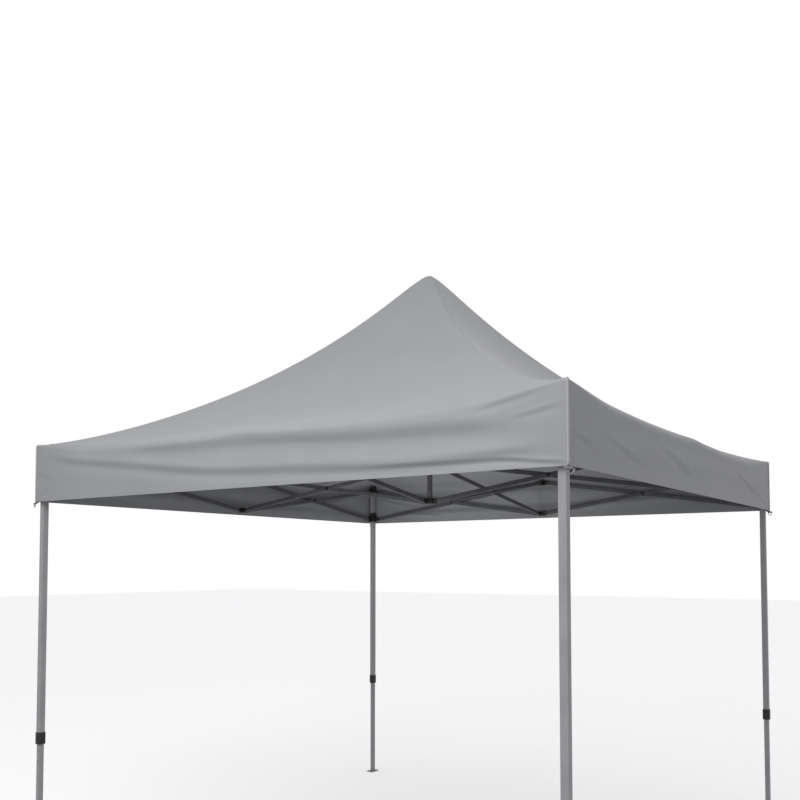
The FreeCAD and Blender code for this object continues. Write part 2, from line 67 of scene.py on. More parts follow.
OUT = HALF - SKIRT_GAP

# The cut of the roof: a blunt peak, a line that steepens upwards, and rounded ridges
PEAK_ROUND = 0.042
ROOF_POWER = 1.45
ROOF_POWER_RISE = 0.46
RIDGE_ROUND = 0.010
# How far the eave droops and the panel sags between its supports
EAVE_DROOP = 0.042
DROOP_POWER = 1.5
DROOP_CALM = 3
PANEL_SAG = 0.016
# The middle bracket of a side lifts the cloth that lies on it
BRACKET_LIFT = 0.007
BRACKET_SPREAD = 0.45
BRACKET_REACH = 0.12
LIFT_START = 0.6
LIFT_RUN = 0.36
# How softly the roof turns down into the skirt, and how near a corner it tightens
BEND_MIDDLE = 0.045
BEND_CORNER = 0.012
BEND_BRACKET = 0.030
CORNER_SHARE = 0.3

# Distances down the cover. The skirt's panel starts on the roof's edge, turns down round the bend and
# then hangs: BEND_FROM, BEND_RUN, BEND_END and DROP_RUN share out the last 1 of the way down.
PEAK_EDGE = 0.08
SKIRT_START = 1.44
BEND_FROM = 0.1
BEND_RUN = 0.2
BEND_END = 0.3
DROP_RUN = 0.7

# How finely the cloth is divided
GORES = 16
GORE_COLUMNS = 9
GORE_ROWS = 44
GORE_CROWDING = 1.15
EDGE_ROWS = 5
BEND_ROWS = 13
DROP_ROWS = 56
PEAK_RINGS = 12
PEAK_COLUMNS = 12

# The cloth's thickness, and the height of its hem
CLOTH_THICK = 0.0012
HEM_TALL = 0.024

# The loose skirt: how far in it may lie, its own curve, and how its folds wander, come and go
SLACK_MARGIN = 0.0035
SLACK_SOFT = 0.0012
SKIRT_BULGE = 0.004
HEM_FLARE = 0.006
FOLD_FADE = 0.3
FOLD_WANDER = 0.004
WANDER_RATE = 6.1
WANDER_SHIFT = 40
BEAT_RATE = 4.7
BEAT_SHIFT = 30
CREASE_FADE = 0.3
CREASE_CALM = 60

# Corners: the unit vectors that point out along X and Y
CORNERS = {"front_left": (-1, -1), "front_right": (1, -1), "back_right": (1, 1), "back_left": (-1, 1)}
# Sides: the way out, and the way across from left to right seen from outside
SIDES = {
    "front": ((0, -1), (1, 0)),
    "right": ((1, 0), (0, 1)),
    "back": ((0, 1), (-1, 0)),
    "left": ((-1, 0), (0, -1)),
}


# The cover's surface


def smooth_step(value):
    """Rises from 0 to 1 with no kinks."""
    value = np.clip(value, 0, 1)
    return value * value * (3 - 2 * value)


def roof_height(out, across):
    """The height of the roof at a distance out from the centre line."""
    size = np.abs(across)
    power = 2 + out / RIDGE_ROUND
    level = out * (1 + size ** power) ** (1 / power)
    run = np.sqrt(level ** 2 + PEAK_ROUND ** 2) - PEAK_ROUND
    share = np.clip(1 - run / (HALF - PEAK_ROUND), 0, 1)
    height = EAVE + (PEAK - EAVE) * share ** (ROOF_POWER + ROOF_POWER_RISE * share)
    part = out / HALF
    droop = EAVE_DROOP * part ** DROOP_POWER * (1 - size ** DROOP_CALM)
    sag = PANEL_SAG * np.sin(math.pi * part) ** 2 * (1 - size ** 2)
    near = np.exp(-(across * out / BRACKET_SPREAD) ** 2)
    lift = BRACKET_LIFT * near * smooth_step((part - LIFT_START) / LIFT_RUN)
    return height - droop - sag + lift


def bend_radius(across):
    """How softly the roof turns down into the skirt: tighter over the legs and the middle bracket."""
    soft = smooth_step((1 - np.abs(across)) / CORNER_SHARE)
    radius = BEND_CORNER + (BEND_MIDDLE - BEND_CORNER) * soft
    near = np.exp(-(across * HALF / BRACKET_REACH) ** 2)
    return radius + (BEND_BRACKET - radius) * near


def fold_shape(off):
    """The section of a soft fold: it stands out above its line, at 0, and tucks in below."""
    return -off * np.exp(-off ** 2) * math.sqrt(2 * math.e)


def skirt_slack(side, across, depth):
    """How far the loose skirt stands out from flat, at a depth under the eave."""
    rule = SLACK[side]
    along = across * HALF
    drop = np.clip(depth / (EAVE - HEM), 0, 1)
    slack = SKIRT_BULGE * np.sin(math.pi * drop) + HEM_FLARE * drop ** 3
    for size, width, (level, slant, bow), (start, end), beat in rule["folds"]:
        wander = FOLD_WANDER * np.sin(WANDER_RATE * along + WANDER_SHIFT * level)
        line = level + slant * along + bow * along ** 2 + wander
        here = smooth_step((along - start) / FOLD_FADE) * smooth_step((end - along) / FOLD_FADE)
        here = here * (1 - beat * (0.5 + 0.5 * np.sin(BEAT_RATE * along + BEAT_SHIFT * level)))
        slack = slack + size * here * fold_shape((depth - line) / width)
    slack = slack * (1 - np.abs(across) ** rule["calm"])
    for size, width, (start, start_depth), (end, end_depth) in rule["creases"]:
        run, fall = end - start, end_depth - start_depth
        length = math.hypot(run, fall)
        part = ((along - start) * run + (depth - start_depth) * fall) / length ** 2
        off = ((depth - start_depth) * run - (along - start) * fall) / length
        here = smooth_step((part + CREASE_FADE) / (2 * CREASE_FADE))
        here = here * smooth_step((1 + CREASE_FADE - part) / (2 * CREASE_FADE))
        here = here * (1 - np.abs(across) ** CREASE_CALM)
        slack = slack + size * here * fold_shape(off / width)
    return np.logaddexp(0, (slack + SLACK_MARGIN) / SLACK_SOFT) * SLACK_SOFT - SLACK_MARGIN


def cover_point(side, down, across):
    """Points of the cover. Past SKIRT_START, `down` goes round the bend and reaches the hem at 1 more."""
    down, across = np.broadcast_arrays(np.asarray(down, float), np.asarray(across, float))
    part = down - SKIRT_START
    radius = bend_radius(across)
    bend_start = OUT - radius
    flat_run = SKIRT_START + (bend_start - SKIRT_START) * np.clip(part / BEND_FROM, 0, 1)
    reach = np.where(part < 0, down, flat_run)
    height = roof_height(reach, across)
    # the arc starts at the roof's own slope, and ends upright
    step = 0.002
    slope = np.arctan2(roof_height(bend_start - step, across) - roof_height(bend_start, across), step)
    turned = slope + (math.pi / 2 - slope) * np.clip((part - BEND_FROM) / BEND_RUN, 0, 1)
    arc = radius / (1 - np.sin(slope))
    reach = reach + arc * (np.sin(turned) - np.sin(slope))
    height = height - arc * (np.cos(slope) - np.cos(turned))
    fall = np.clip((part - BEND_END) / DROP_RUN, 0, 1)
    height = height + (HEM - height) * fall * (part > BEND_END)
    # the slack comes in over the bend, so that skirt and roof meet with no gap
    reach = reach + skirt_slack(side, across, EAVE - height) * smooth_step(part / BEND_END)
    (ox, oy), (ax, ay) = SIDES[side]
    lateral = across * reach
    return np.stack([ox * reach + ax * lateral, oy * reach + ay * lateral, height], -1)


def cover_normal(side, down, across):
    """The way the cover faces, outwards."""
    step = 1e-4
    down, across = np.broadcast_arrays(np.asarray(down, float), np.asarray(across, float))
    low, high = np.clip(across - step, -1, 1), np.clip(across + step, -1, 1)
    fall = cover_point(side, down + step, across) - cover_point(side, down - step, across)
    over = cover_point(side, down, high) - cover_point(side, down, low)
    normal = np.cross(fall, over)
    return normal / np.linalg.norm(normal, axis=-1, keepdims=True)


# The folds of each skirt, in metres along the side and in depth under the eave. A fold has a size, a
# width, its line's level, slant and bow, its two ends, and how much it comes and goes. A crease has a
# size, a width and its two ends. The higher `calm` is, the nearer the corners the folds run.
SLACK = {
    "front": {
        "calm": 16,
        "folds": [
            (0.0080, 0.044, (0.104, 0.035, 0.0), (-0.85, 1.36), 0.2),
            (0.0058, 0.030, (0.228, 0.062, -0.035), (-1.48, 1.50), 0.1),
        ],
        "creases": [
            (0.0016, 0.015, (1.16, 0.078), (1.38, 0.036)),
            (0.0015, 0.014, (1.31, 0.118), (1.47, 0.090)),
            (0.0020, 0.012, (0.70, 0.256), (1.30, 0.264)),
            (0.0028, 0.011, (1.25, 0.264), (1.48, 0.287)),
            (0.0016, 0.012, (-1.49, 0.285), (-1.38, 0.235)),
            (0.0014, 0.014, (-1.48, 0.150), (-1.36, 0.185)),
        ],
    },
    "right": {
        "calm": 14,
        "folds": [
            (0.0042, 0.048, (0.190, -0.010, 0.010), (-1.50, 1.50), 0.6),
            (0.0026, 0.040, (0.085, 0.010, 0.0), (-1.10, 1.20), 0.7),
        ],
        "creases": [
            (0.0026, 0.020, (-1.15, 0.165), (-0.75, 0.235)),
            (0.0026, 0.022, (-0.55, 0.130), (-0.10, 0.220)),
            (0.0030, 0.020, (0.72, 0.135), (1.15, 0.230)),
            (0.0020, 0.014, (1.10, 0.200), (1.42, 0.275)),
            (0.0018, 0.016, (-1.47, 0.180), (-1.30, 0.215)),
        ],
    },
    "back": {
        "calm": 15,
        "folds": [
            (0.0060, 0.040, (0.095, -0.020, 0.012), (-1.40, 1.40), 0.4),
            (0.0056, 0.030, (0.212, 0.022, -0.015), (-1.45, 1.30), 0.3),
        ],
        "creases": [
            (0.0026, 0.018, (1.05, 0.190), (1.42, 0.110)),
            (0.0024, 0.014, (0.85, 0.255), (1.25, 0.215)),
            (0.0020, 0.014, (-1.45, 0.120), (-1.20, 0.165)),
        ],
    },
    "left": {
        "calm": 14,
        "folds": [
            (0.0048, 0.044, (0.120, -0.030, 0.0), (-1.30, 1.20), 0.5),
            (0.0040, 0.034, (0.225, -0.020, -0.010), (-1.45, 1.40), 0.5),
        ],
        "creases": [
            (0.0024, 0.018, (-1.20, 0.110), (-0.80, 0.185)),
            (0.0022, 0.015, (1.15, 0.125), (1.44, 0.080)),
            (0.0018, 0.013, (1.28, 0.285), (1.46, 0.250)),
        ],
    },
}


# Meshes


def new_object(name, points, faces, normals=None, spots=None):
    """A mesh object with its own vertex normals and a map of its cut in metres."""
    mesh = bpy.data.meshes.new(name)
    mesh.from_pydata([tuple(p) for p in points], [], faces)
    mesh.validate()
    for polygon in mesh.polygons:
        polygon.use_smooth = True
    if spots is not None:
        layer = mesh.uv_layers.new(name="cut")
        for loop in mesh.loops:
            layer.data[loop.index].uv = spots[loop.vertex_index]
    if normals is not None:
        mesh.normals_split_custom_set_from_vertices([tuple(n) for n in normals])
    made = bpy.data.objects.new(name, mesh)
    bpy.context.scene.collection.objects.link(made)
    return made


def even_normals(made):
    """Turns all the faces of a closed mesh outwards."""
    work = bmesh.new()
    work.from_mesh(made.data)
    bmesh.ops.recalc_face_normals(work, faces=work.faces)
    work.to_mesh(made.data)
    work.free()


def grid_faces(rows, columns, start=0, flip=False):
    """The quads of a grid of vertices."""
    faces = []
    for r in range(rows - 1):
        for c in range(columns - 1):
            a = start + r * columns + c
            quad = (a, a + columns, a + columns + 1, a + 1)
            faces.append(quad[::-1] if flip else quad)
    return faces


def rim_faces(rows, columns, offset):
    """The quads that join the outer and the inner layer of a grid round its four edges."""
    last = (rows - 1) * columns
    loop = [c for c in range(columns)]
    loop += [r * columns + columns - 1 for r in range(1, rows)]
    loop += [last + c for c in range(columns - 2, -1, -1)]
    loop += [r * columns for r in range(rows - 2, 0, -1)]
    return [(a, b, b + offset, a + offset) for a, b in zip(loop, loop[1:] + loop[:1])]


def ring_faces(rings, around):
    """The faces of rings of vertices: quads from each ring to the next, and an end on each last ring."""
    faces = []
    for ring in range(rings - 1):
        for step in range(around):
            a, b = ring * around + step, ring * around + (step + 1) % around
            faces.append((a, b, b + around, a + around))
    faces.append(tuple(range(around))[::-1])
    faces.append(tuple(range((rings - 1) * around, rings * around)))
    return faces


def double_layer(name, points, normals, spots):
    """A closed sheet of cloth from a grid of points and the way that each faces."""
    rows, columns = points.shape[:2]
    count = rows * columns
    outer, facing = points.reshape(-1, 3), normals.reshape(-1, 3)
    inner = outer - facing * CLOTH_THICK
    faces = grid_faces(rows, columns) + grid_faces(rows, columns, count, flip=True)
    faces += rim_faces(rows, columns, count)
    both = np.concatenate([outer, inner])
    turned = np.concatenate([facing, -facing])
    flat = spots.reshape(-1, 2)
    return new_object(name, both, faces, turned, np.concatenate([flat, flat]))


def cloth_panel(name, side, downs, acrosses):
    """A panel of the cover from its places down and across, and the width and length of its cut."""
    down, across = np.meshgrid(downs, acrosses, indexing="ij")
    normals = cover_normal(side, down, across)
    points = cover_point(side, down, across)
    spots = np.stack([across * HALF, points[..., 2] - HEM], -1)
    made = double_layer(name, points, normals, spots)
    wide = np.linalg.norm(np.diff(points, axis=1), axis=-1).sum(1).max()
    long = np.linalg.norm(np.diff(points[:, len(acrosses) // 2], axis=0), axis=-1).sum()
    return made, (float(wide), float(long))


def gore_columns(number):
    """Places across a gore. Next to a ridge, at -1 or 1, they crowd together."""
    left, right = (2 * number / GORES - 1 for number in (number - 1, number))
    if number in (1, GORES):
        return np.sin(np.linspace(math.asin(left), math.asin(right), GORE_COLUMNS))
    return np.linspace(left, right, GORE_COLUMNS)


# Nodes of the materials


CLOUD_LOW = 0.3
CLOUD_HIGH = 0.7


class Wire:
    """A value in a material. Arithmetic and comparisons on it add Math nodes."""

    def __init__(self, bench, socket):
        self.bench = bench
        self.socket = socket

    def math(self, operation, first, second=None):
        values = {0: first} if second is None else {0: first, 1: second}
        return self.bench.node("ShaderNodeMath", {"operation": operation}, values)[0]

    def __add__(self, other):
        return self.math("ADD", self, other)

    def __radd__(self, other):
        return self.math("ADD", other, self)

    def __sub__(self, other):
        return self.math("SUBTRACT", self, other)

    def __rsub__(self, other):
        return self.math("SUBTRACT", other, self)

    def __mul__(self, other):
        return self.math("MULTIPLY", self, other)

    def __rmul__(self, other):
        return self.math("MULTIPLY", other, self)

    def __pow__(self, other):
        return self.math("POWER", self, other)

    def __rpow__(self, other):
        return self.math("POWER", other, self)

    def __lt__(self, other):
        return self.math("LESS_THAN", self, other)

    def __gt__(self, other):
        return self.math("GREATER_THAN", self, other)

    def sine(self):
        return self.math("SINE", self)

    def fraction(self):
        return self.math("FRACT", self)

    def size(self):
        return self.math("ABSOLUTE", self)


class Bench:
    """Where one material's nodes are put together."""

    def __init__(self, tree):
        self.tree = tree
        tree.nodes.clear()

    def node(self, kind, settings=None, values=None):
        """Adds a node: its settings first, then its sockets' values or links. Gives its outputs."""
        made = self.tree.nodes.new(kind)
        for key, value in (settings or {}).items():
            if key == "stops":
                while len(made.color_ramp.elements) < len(value):
                    made.color_ramp.elements.new(0.5)
                for element, (place, colour) in zip(made.color_ramp.elements, value):
                    element.position, element.color = place, (*colour, 1)
            else:
                setattr(made, key, value)
        for key, value in (values or {}).items():
            if isinstance(value, Wire):
                self.tree.links.new(value.socket, made.inputs[key])
            else:
                made.inputs[key].default_value = value
        return [Wire(self, socket) for socket in made.outputs]

    def noise(self, place, scale, detail=3.0, rough=0.5):
        """Soft random values about one half."""
        values = {"Vector": place, "Scale": scale, "Detail": detail, "Roughness": rough}
        return self.node("ShaderNodeTexNoise", {}, values)[0]

    def spread(self, cloud, out_low=0.0, out_high=1.0):
        """Spreads the middle of a noise, where most of it lies, over a whole range."""
        return self.between(cloud, CLOUD_LOW, CLOUD_HIGH, out_low, out_high)

    def mix_colour(self, share, first, second):
        settings = {"data_type": "RGBA", "blend_type": "MIX"}
        return self.node("ShaderNodeMix", settings, {0: share, 6: first, 7: second})[2]

    def between(self, value, low, high, out_low=0.0, out_high=1.0):
        """Maps one range of a value to another, with both ends held."""
        values = {0: value, 1: low, 2: high, 3: out_low, 4: out_high}
        return self.node("ShaderNodeMapRange", {"clamp": True}, values)[0]

    def place(self):
        """Where a point is on the shelter at rest, as a vector and as x, y and z."""
        vector = self.node("ShaderNodeTexCoord")[3]
        return vector, self.node("ShaderNodeSeparateXYZ", {}, {0: vector})

    def stretched(self, vector, scale):
        """A place scaled by its own amount along each axis."""
        settings = {"operation": "MULTIPLY"}
        return self.node("ShaderNodeVectorMath", settings, {0: vector, 1: scale})[0]

    def bump(self, height, depth, strength):
        """The normal of a finely raised surface."""
        values = {"Height": height, "Distance": depth, "Strength": strength}
        return self.node("ShaderNodeBump", {}, values)[0]

    def finish(self, colour, roughness, normal=None, **constants):
        """The surface. Constants are set on the shader's own sockets."""
        values = {"Base Color": colour, "Roughness": roughness}
        values |= {key.replace("_", " ").title(): value for key, value in constants.items()}
        if normal is not None:
            values["Normal"] = normal
        shader = self.node("ShaderNodeBsdfPrincipled", {}, values)[0]
        self.node("ShaderNodeOutputMaterial", {}, {"Surface": shader})


def new_material(name):
    """A material with nothing in it yet, and the bench to make it on."""
    made = bpy.data.materials.new(name)
    made.use_nodes = True
    return made, Bench(made.node_tree)


def grey(value, warm=0.0):
    """A grey, a little warm or cool."""
    return (value * (1 + warm), value, value * (1 - warm), 1)


# The finishes


# Spacing of the cover's threads, of its stitches and of the strap's ribs
THREAD_PITCH = 0.0011
STITCH_PITCH = 0.005
STITCH_LONG = 0.65
STITCH_WIDE = 0.0012
RIB_PITCH = 0.0022
DUST_TOP = 0.22


def cover_cloth():
    """Coated polyester: a fine plain weave, soft mottling, and a row of stitches over the hem."""
    made, bench = new_material("cover_cloth")
    cut = bench.node("ShaderNodeUVMap", {"uv_map": "cut"})[0]
    across, up, _ = bench.node("ShaderNodeSeparateXYZ", {}, {0: cut})
    vector, _ = bench.place()
    cloud = bench.noise(vector, scale=2.2, detail=4.0, rough=0.55)
    fleck = bench.noise(vector, scale=260.0, detail=2.0, rough=0.6)
    thread = math.tau / THREAD_PITCH
    warp = (across * thread).sine()
    weft = (up * thread).sine()
    weave = warp * weft * 0.5 + 0.5
    colour = bench.mix_colour(bench.spread(cloud), grey(0.298, -0.025), grey(0.322, -0.018))
    colour = bench.mix_colour((fleck - 0.5).size() * 0.5, colour, grey(0.24, -0.02))
    on_line = (up - HEM_TALL).size() < STITCH_WIDE
    in_stitch = (across * (1 / STITCH_PITCH)).fraction() < STITCH_LONG
    seam = on_line * in_stitch
    colour = bench.mix_colour(seam * 0.5, colour, grey(0.40))
    ply = (up < HEM_TALL) * 0.5
    height = weave * 0.12 + seam * 0.6 + ply
    rough = bench.spread(cloud, 0.56, 0.66)
    normal = bench.bump(height, depth=0.0008, strength=0.55)
    bench.finish(colour, rough, normal, sheen_weight=0.25, sheen_roughness=0.45)
    return made


def seam_tape():
    """The lighter edge binding that runs down the corners of the skirt."""
    made, bench = new_material("seam_tape")
    vector, _ = bench.place()
    ribs = bench.noise(bench.stretched(vector, (900, 900, 300)), scale=1.0, detail=2.0)
    tone = bench.noise(vector, scale=30.0)
    colour = bench.mix_colour(tone, grey(0.36, -0.01), grey(0.43, -0.004))
    normal = bench.bump(ribs, depth=0.0006, strength=0.6)
    bench.finish(colour, 0.55, normal, sheen_weight=0.3, sheen_roughness=0.4)
    return made


def webbing():
    """Woven strap: fine ribs across the strap."""
    made, bench = new_material("webbing")
    vector, (_, _, up) = bench.place()
    ribs = (up * (math.tau / RIB_PITCH)).sine()
    tone = bench.noise(vector, scale=120.0)
    colour = bench.mix_colour(tone, grey(0.16, -0.01), grey(0.24, -0.01))
    height = ribs * 0.5 + bench.noise(vector, scale=700.0) * 0.4
    normal = bench.bump(height, depth=0.0006, strength=0.8)
    bench.finish(colour, 0.72, normal, sheen_weight=0.3, sheen_roughness=0.5)
    return made


def powder_coat(name, dark, light, rub=0.0, dust=0.0):
    """Sprayed and baked paint: fine orange peel, faint handling marks, rubbed and dusty where asked."""
    made, bench = new_material(name)
    vector, (_, _, up) = bench.place()
    peel = bench.noise(vector, scale=420.0, detail=2.0)
    cloud = bench.noise(vector, scale=9.0, detail=4.0)
    colour = bench.mix_colour(bench.spread(cloud), dark, light)
    rough = bench.spread(cloud, 0.34, 0.46)
    streak = bench.noise(bench.stretched(vector, (260, 260, 3)), scale=1.0)
    mark = bench.between(streak, 0.62, 0.72) * rub
    colour = bench.mix_colour(mark, colour, grey(0.5))
    rough = rough - mark * 0.12
    if dust:
        low_down = bench.between(up, 0.0, DUST_TOP, 1.0, 0.0) ** 2
        settled = low_down * bench.between(bench.noise(vector, scale=24.0), 0.35, 0.65)
        colour = bench.mix_colour(settled * dust, colour, (0.36, 0.32, 0.26, 1))
        rough = rough + settled * 0.35 * dust
    bench.finish(colour, rough, bench.bump(peel, depth=0.0004, strength=0.35))
    return made


def nylon(name, tone=0.018, rough_low=0.38):
    """Black moulded nylon with a fine spark texture and slightly greyed where it is handled."""
    made, bench = new_material(name)
    vector, _ = bench.place()
    grain = bench.noise(vector, scale=1500.0, detail=2.0)
    cloud = bench.noise(vector, scale=45.0, detail=4.0)
    worn = bench.between(cloud, 0.5, 0.75)
    colour = bench.mix_colour(worn * 0.6, grey(tone, -0.02), grey(tone * 2.3, -0.01))
    rough = bench.spread(cloud, rough_low, rough_low + 0.16)
    bench.finish(colour, rough, bench.bump(grain, depth=0.0003, strength=0.5))
    return made


def plated_steel(name, tone, rough):
    """Zinc plating: bright, with a cloudy finish and fine drawing marks."""
    made, bench = new_material(name)
    vector, _ = bench.place()
    cloud = bench.noise(vector, scale=160.0)
    colour = bench.mix_colour(cloud, grey(tone * 0.8, 0.01), grey(tone * 1.15, 0.01))
    fine = bench.noise(bench.stretched(vector, (900, 900, 2600)), scale=1.0, detail=2.0)
    roughness = bench.spread(cloud, rough, rough + 0.15)
    bench.finish(colour, roughness, bench.bump(fine, depth=0.0002, strength=0.4), metallic=1.0)
    return made


# CAD pieces: each separate solid gets the finish of what it is


def separate_solids(made):
    """The polygons of each separate solid of a node, with its box: [(polygon indices, low, high)]."""
    mesh = made.data
    coords = np.zeros(len(mesh.vertices) * 3)
    mesh.vertices.foreach_get("co", coords)
    coords = coords.reshape(-1, 3)
    keys = {}
    shared = [keys.setdefault(tuple(np.round(p, 6)), len(keys)) for p in coords]
    owner = list(range(len(keys)))

    def root(item):
        while owner[item] != item:
            owner[item] = owner[owner[item]]
            item = owner[item]
        return item

    for polygon in mesh.polygons:
        first = root(shared[polygon.vertices[0]])
        for vertex in polygon.vertices[1:]:
            owner[root(shared[vertex])] = first
    groups = {}
    for polygon in mesh.polygons:
        groups.setdefault(root(shared[polygon.vertices[0]]), []).append(polygon.index)
    found = []
    for indices in groups.values():
        corners = coords[[v for i in indices for v in mesh.polygons[i].vertices]]
        found.append((indices, corners.min(0), corners.max(0)))
    return found


# Sizes that tell a separate solid's kind
BOLT_HEAD = 0.012
BOLT_LONGEST = 0.040
SPACER_THICK = 0.008
TUBE_SHORTEST = 0.3


def solid_kind(low, high):
    """What a separate solid is, by its size: a bolt, a spacer, a tube or a moulding."""
    small, middle, large = sorted(high - low)
    if middle < BOLT_HEAD and large < BOLT_LONGEST:
        return "bolt"
    if large > TUBE_SHORTEST:
        return "tube"
    return "spacer" if small < SPACER_THICK and large < BOLT_LONGEST else "moulding"


def finish_node(name, finishes):
    """Gives each solid of a CAD node the finish for its kind."""
    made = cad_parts[name]
    mesh = made.data
    mesh.materials.clear()
    kinds = list(finishes)
    for kind in kinds:
        mesh.materials.append(finishes[kind])
    for indices, low, high in separate_solids(made):
        kind = solid_kind(low, high)
        slot = kinds.index(kind) if kind in kinds else 0
        for index in indices:
            mesh.polygons[index].material_index = slot


# The domed caps on the bolts. The profile is (share of the radius, share of the height).
CAP_RADIUS = 0.012
CAP_HEIGHT = 0.0065
CAP_PROUD = 0.0022
CAP_STEPS = 28
CAP_PROFILE = [
    (0.86, 0.0), (1.0, 0.06), (1.0, 0.55), (0.94, 0.76), (0.80, 0.92), (0.5, 1.0), (0.34, 0.97),
]


def crossing_caps(name, black):
    """A domed cap over each end of the bolts that join a bar to the one it crosses."""
    number = 0
    for _, low, high in separate_solids(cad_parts[name]):
        if solid_kind(low, high) != "bolt":
            continue
        axis = int(np.argmax(high - low))
        middle = (low + high) / 2
        beside = [n for n in range(3) if n != axis]
        for way, end in ((-1, low[axis]), (1, high[axis])):
            points = []
            for share, rise in CAP_PROFILE:
                for step in range(CAP_STEPS):
                    turn = math.tau * step / CAP_STEPS
                    point = middle.copy()
                    point[axis] = end + way * (CAP_PROUD - CAP_HEIGHT * (1 - rise))
                    point[beside[0]] += CAP_RADIUS * share * math.cos(turn)
                    point[beside[1]] += CAP_RADIUS * share * math.sin(turn)
                    points.append(point)
            number += 1
            faces = ring_faces(len(CAP_PROFILE), CAP_STEPS)
            made = new_object(f"crossing_cap_{name}_{number}", points, faces)
            even_normals(made)
            made.data.materials.append(black)
            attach(made, name)


def finish_frame():
    """Every CAD node that shows gets its paint, plastic or plating."""
    leg_greys = (grey(0.32, -0.006), grey(0.37, -0.004))
    leg = powder_coat("leg_paint", *leg_greys, rub=0.15)
    lower = powder_coat("lower_leg_paint", *leg_greys, rub=0.5, dust=0.5)
    # The bars and the pole are much darker than the legs: their own grey paint with the shade under the
    # cover painted into it
    bars = powder_coat("bar_paint_and_painted_shade", grey(0.085, -0.03), grey(0.115, -0.03), rub=0.2)
    pole = powder_coat("pole_paint_and_painted_shade", grey(0.10, -0.02), grey(0.13, -0.02), rub=0.3)
    black = nylon("bracket_nylon")
    button = nylon("button_nylon", tone=0.026, rough_low=0.28)
    bolts = plated_steel("bolt_steel", tone=0.16, rough=0.36)
    wire = plated_steel("ring_steel", tone=0.42, rough=0.24)
    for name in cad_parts:
        if name == "cover":
            continue
        if name.startswith("leg_button") or name.startswith("slider_knob"):
            finish_node(name, {"moulding": button})
        elif name.startswith("tie_ring"):
            finish_node(name, {"moulding": wire})
        elif name.startswith("lower_leg"):
            finish_node(name, {"tube": lower})
        elif "_bar_" in name:
            finish_node(name, {"tube": bars, "bolt": bolts, "spacer": black})
            crossing_caps(name, black)
        elif name.startswith("leg_"):
            finish_node(name, {"moulding": black, "tube": leg, "bolt": bolts})
        else:
            finish_node(name, {"moulding": black, "tube": pole, "bolt": bolts})


# The cover's pieces


def peak_panel(cloth):
    """The small round panel that sits on the peak cap."""
    rings = np.linspace(PEAK_EDGE / PEAK_RINGS, PEAK_EDGE, PEAK_RINGS)
    columns = np.linspace(-1, 1, PEAK_COLUMNS + 1)[:-1]
    points, normals = [(0.0, 0.0, PEAK)], [(0.0, 0.0, 1.0)]
    for ring in rings:
        for side in SIDES:
            points += list(cover_point(side, ring, columns))
            normals += list(cover_normal(side, ring, columns))
    around = len(columns) * len(SIDES)
    faces = [(0, 1 + n, 1 + (n + 1) % around) for n in range(around)]
    for r in range(len(rings) - 1):
        for n in range(around):
            a, b = 1 + r * around + n, 1 + r * around + (n + 1) % around
            faces.append((a, a + around, b + around, b))
    count = len(points)
    points, normals = np.array(points), np.array(normals)
    points = np.concatenate([points, points - normals * CLOTH_THICK])
    faces += [tuple(v + count for v in face[::-1]) for face in faces]
    last = count - around
    for n in range(around):
        a, b = last + n, last + (n + 1) % around
        faces.append((a, a + count, b + count, b))
    # the map lies far above the hem, so that no stitches fall on this panel
    spots = points[:, :2] + np.array([0, HALF])
    made = new_object("cover_peak", points, faces, np.concatenate([normals, -normals]), spots)
    made.data.materials.append(cloth)
    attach(made, "peak_pole")
    return made


def roof_gores(side, cloth):
    """The roof of one side, in narrow gores."""
    downs = PEAK_EDGE + (SKIRT_START - PEAK_EDGE) * np.linspace(0, 1, GORE_ROWS) ** GORE_CROWDING
    for number in range(1, GORES + 1):
        columns = gore_columns(number)
        made, cut = cloth_panel(f"roof_{side}_gore_{number}", side, downs, columns)
        made.data.materials.append(cloth)
        foot = Vector(cover_point(side, SKIRT_START, columns[GORE_COLUMNS // 2]))
        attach(made, "peak_pole")
        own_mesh(made)


def skirt_panel(side, cloth):
    """One side's skirt, from just over the bend down to the hem."""
    columns = np.concatenate([gore_columns(number)[number > 1:] for number in range(1, GORES + 1)])
    downs = SKIRT_START + np.concatenate([
        np.linspace(0, BEND_FROM, EDGE_ROWS)[:-1],
        np.linspace(BEND_FROM, BEND_END, BEND_ROWS)[:-1],
        np.linspace(BEND_END, 1, DROP_ROWS),
    ])
    made, cut = cloth_panel(f"skirt_{side}", side, downs, columns)
    made.data.materials.append(cloth)
    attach(made, f"mid_top_bracket_{side}")
    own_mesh(made)


def closed_strip(name, rows, body, tape):
    """A closed strip from rows of points: each row is one cross-section, a closed loop."""
    points = [point for row in rows for point in row]
    made = new_object(name, points, ring_faces(len(rows), len(rows[0])))
    made.data.materials.append(tape)
    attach(made, body)
    return made


def corner_sides(corner):
    """The side that ends at a corner (across 1) and the side that starts there (across -1)."""
    for side, ((ox, oy), (ax, ay)) in SIDES.items():
        if (ox + ax, oy + ay) == CORNERS[corner]:
            ends = side
        if (ox - ax, oy - ay) == CORNERS[corner]:
            starts = side
    return ends, starts


# The doubled seam on a ridge: how far it reaches to each side, stands up and sinks in
RIDGE_REACH = 0.008
RIDGE_LIFT = 0.0009
RIDGE_SINK = 0.0003
RIDGE_EDGE = 0.25
RIDGE_PAST = 0.03
RIDGE_ROWS = 60
RIDGE_CROWDING = 1.1
# The rolled binding: it starts on the bend, a little wider than thick, and thins at both ends
BINDING_RADIUS = 0.0045
BINDING_FROM = 0.15
BINDING_ROWS = 40
BINDING_STEPS = 12
BINDING_WIDER = 1.15


